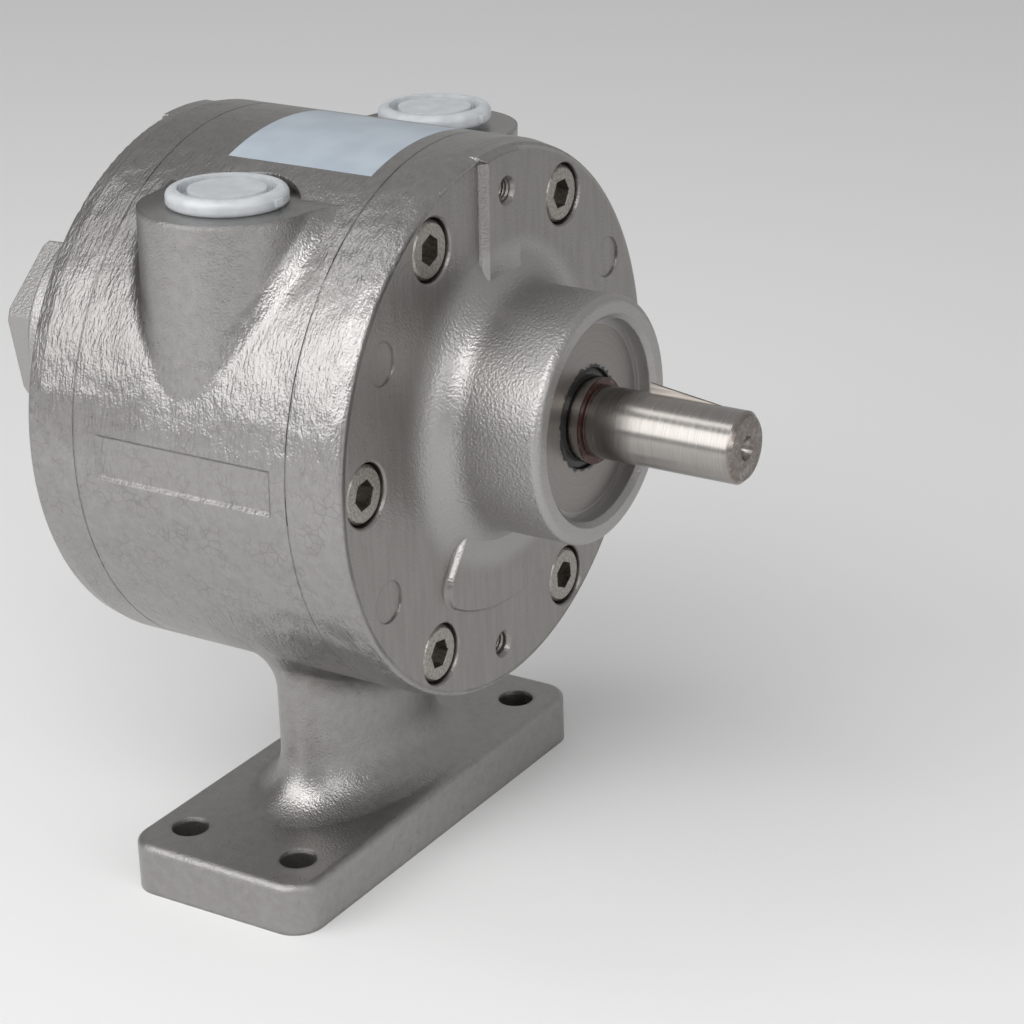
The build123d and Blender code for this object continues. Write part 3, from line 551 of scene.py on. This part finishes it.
def paint_fill(name, gasket, spans, paint):
    """Paint that bridges the joint over a gasket, along some spans of turn."""
    low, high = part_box(gasket)
    made = bmesh.new()
    reach = BARREL_R - PAINT_FILL_DROP
    for start, end in spans:
        place = (math.sin(math.radians(start)) * reach, BARREL_Z + math.cos(math.radians(start)) * reach)
        ends = [made.verts.new((x, *place)) for x in (low[0], high[0])]
        edge = made.edges.new(ends)
        bmesh.ops.spin(
            made,
            geom=[*ends, edge],
            cent=(0, 0, BARREL_Z),
            axis=(1, 0, 0),
            angle=-math.radians(end - start),
            steps=max(1, round((end - start) / PAINT_FILL_STEP)),
        )
    bmesh.ops.recalc_face_normals(made, faces=made.faces)
    bmesh.ops.solidify(made, geom=made.faces[:], thickness=PAINT_FILL_T)
    bmesh.ops.recalc_face_normals(made, faces=made.faces)
    return piece(name, made, paint, "housing")


def floor():
    """A sheet of matt, nearly white paper under the motor."""
    mesh = bpy.data.meshes.new("floor")
    made = bmesh.new()
    bmesh.ops.create_grid(made, x_segments=1, y_segments=1, size=FLOOR_HALF)
    made.to_mesh(mesh)
    made.free()
    obj = bpy.data.objects.new("floor", mesh)
    bpy.context.scene.collection.objects.link(obj)
    f = Finish("matt_white_paper")
    surface = f.add("ShaderNodeBsdfPrincipled", Base_Color=linear(FLOOR_COLOUR), Roughness=0.9)
    obj.data.materials.append(f.done(surface))


def camera():
    """The camera, turned from looking down to its azimuth, elevation and roll."""
    data = bpy.data.cameras.new("camera")
    data.lens = CAMERA_LENS
    data.sensor_width = CAMERA_SENSOR
    data.clip_start = 0.01
    obj = bpy.data.objects.new("camera", data)
    turn = Matrix.Rotation(math.radians(CAMERA_AZIMUTH), 4, "Z")
    tip = Matrix.Rotation(math.radians(90 - CAMERA_ELEVATION), 4, "X")
    roll = Matrix.Rotation(math.radians(CAMERA_ROLL), 4, "Z")
    obj.matrix_world = Matrix.Translation(CAMERA_PLACE) @ turn @ tip @ roll
    bpy.context.scene.collection.objects.link(obj)
    bpy.context.scene.camera = obj


def soft_box(name, azimuth, elevation, distance, width, height, brightness):
    """An area lamp that faces the motor from a direction and shows it this brightness, 1 being white."""
    data = bpy.data.lights.new(name, "AREA")
    data.shape = "RECTANGLE"
    data.size = width
    data.size_y = height
    data.energy = brightness * math.pi * width * height
    obj = bpy.data.objects.new(name, data)
    az, el = math.radians(azimuth), math.radians(elevation)
    way = Vector((math.cos(az) * math.cos(el), math.sin(az) * math.cos(el), math.sin(el)))
    obj.location = Vector(SOFT_BOX_AIM) + way * distance
    obj.rotation_euler = way.to_track_quat("Z", "Y").to_euler()
    bpy.context.scene.collection.objects.link(obj)


def room():
    """An even grey room light, which is dimmer on one side."""
    made = bpy.data.worlds.new("studio")
    made.use_nodes = True
    tree = made.node_tree
    tree.nodes.clear()
    way = add_node(tree, "ShaderNodeTexCoord").outputs["Generated"]
    dim_side = add_node(tree, "ShaderNodeVectorMath", DOT_PRODUCT, in0=way, in1=ROOM_DIM_WAY)
    level = add_node(
        tree,
        "ShaderNodeMapRange",
        Value=dim_side,
        From_Min=ROOM_DIM_FROM,
        From_Max=ROOM_DIM_TO,
        To_Min=ROOM_LIGHT,
        To_Max=ROOM_DIM,
    )
    light = add_node(tree, "ShaderNodeBackground", Color=linear("#FFFFFF"), Strength=level)
    add_node(tree, "ShaderNodeOutputWorld", Surface=light)
    bpy.context.scene.world = made


camera()
aluminium_paint = painted_iron()
dress_castings(aluminium_paint)
dress_turned_parts()
dress_plastic_parts()
# Tapping cuts through the paint, so the threads show bare grey iron
cut_iron = machined_metal("bare_cut_iron", "#7E7A75", "#9C9892", 0.36)
jack_thread("upper_jack_hole_thread", UPPER_JACK_HOLE, cut_iron)
jack_thread("lower_jack_hole_thread", LOWER_JACK_HOLE, cut_iron)
label()
paint_fill("paint_in_drive_end_joint", "drive_end_gasket", DRIVE_JOINT_SPANS, aluminium_paint)
paint_fill("paint_in_dead_end_joint", "dead_end_gasket", DEAD_JOINT_SPANS, aluminium_paint)
floor()
for box_name, box_values in SOFT_BOXES.items():
    soft_box(box_name, *box_values)
room()
bpy.context.scene.view_settings.view_transform = "Standard"
